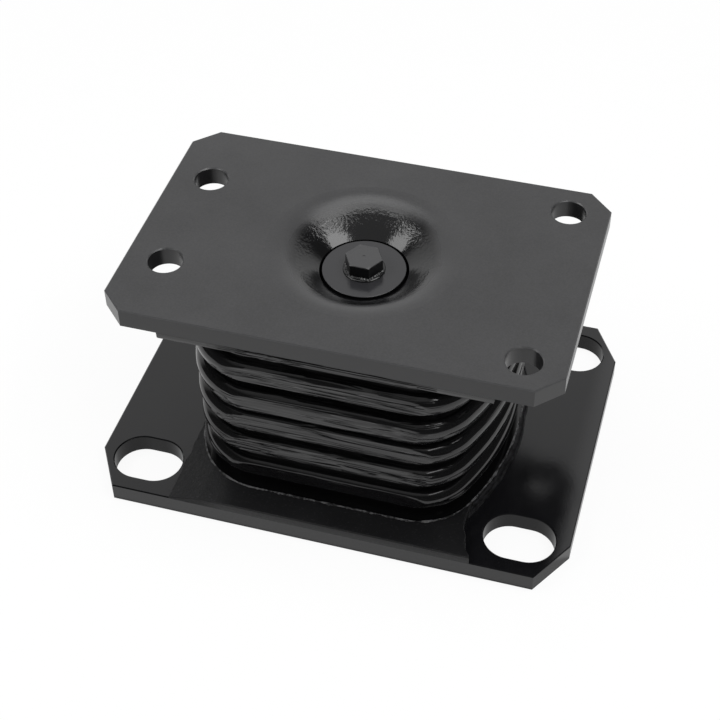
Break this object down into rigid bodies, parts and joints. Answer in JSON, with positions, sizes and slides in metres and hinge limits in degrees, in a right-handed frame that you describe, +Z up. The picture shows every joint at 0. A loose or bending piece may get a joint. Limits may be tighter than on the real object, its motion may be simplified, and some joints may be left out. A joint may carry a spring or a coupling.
{
  "type": "spring vibration isolator",
  "caption": "Laminated spring isolator: a ribbed rubber stack with steel plates inside, bonded between a slotted base plate and a dished top plate, held by a central tie bolt.",
  "frame": {"origin": "centre of the base plate's underside", "axes": "+X along the long side, towards the wider pair of top holes; +Z up, out of the top plate"},
  "size_m": [0.355, 0.259, 0.171],
  "materials": {
    "base_paint": "gloss",
    "top_paint": "satin",
    "rubber": "gloss",
    "pad_rubber": "matte",
    "bolt_paint": "satin",
    "plain_steel": "satin",
    "leaf_steel": "satin"
  },
  "bodies": {
    "base": {"base_plate": "base_paint", "anchor_boss": "plain_steel", "spacer_sleeve": "plain_steel", "limit_washer": "bolt_paint", "lock_washer": "bolt_paint", "tie_bolt": "bolt_paint", "rubber_body": "rubber"},
    "top": {"top_plate": "top_paint", "rebound_pad": "pad_rubber"},
    "leaf_1": {"interleaf_plate_1": "leaf_steel"},
    "leaf_2": {"interleaf_plate_2": "leaf_steel"},
    "leaf_3": {"interleaf_plate_3": "leaf_steel"},
    "leaf_4": {"interleaf_plate_4": "leaf_steel"},
    "leaf_5": {"interleaf_plate_5": "leaf_steel"}
  },
  "joints": [
    {"name": "compression", "type": "slide", "parent": "base", "child": "top", "axis": [0, 0, 1], "range_m": [-0.006, 0], "stiffness_N_per_m": 400000, "springref_m": 0.001, "deforming": ["rubber_body"]},
    {"name": "leaf_1_slide", "type": "slide", "parent": "base", "child": "leaf_1", "axis": [0, 0, 1], "range_m": [-0.006, 0]},
    {"name": "leaf_2_slide", "type": "slide", "parent": "base", "child": "leaf_2", "axis": [0, 0, 1], "range_m": [-0.006, 0]},
    {"name": "leaf_3_slide", "type": "slide", "parent": "base", "child": "leaf_3", "axis": [0, 0, 1], "range_m": [-0.006, 0]},
    {"name": "leaf_4_slide", "type": "slide", "parent": "base", "child": "leaf_4", "axis": [0, 0, 1], "range_m": [-0.006, 0]},
    {"name": "leaf_5_slide", "type": "slide", "parent": "base", "child": "leaf_5", "axis": [0, 0, 1], "range_m": [-0.006, 0]}
  ],
  "couplings": [
    {"joint": "leaf_1_slide", "follows": "compression", "ratio": 0.1525},
    {"joint": "leaf_2_slide", "follows": "compression", "ratio": 0.3262},
    {"joint": "leaf_3_slide", "follows": "compression", "ratio": 0.5},
    {"joint": "leaf_4_slide", "follows": "compression", "ratio": 0.6738},
    {"joint": "leaf_5_slide", "follows": "compression", "ratio": 0.8475}
  ]
}
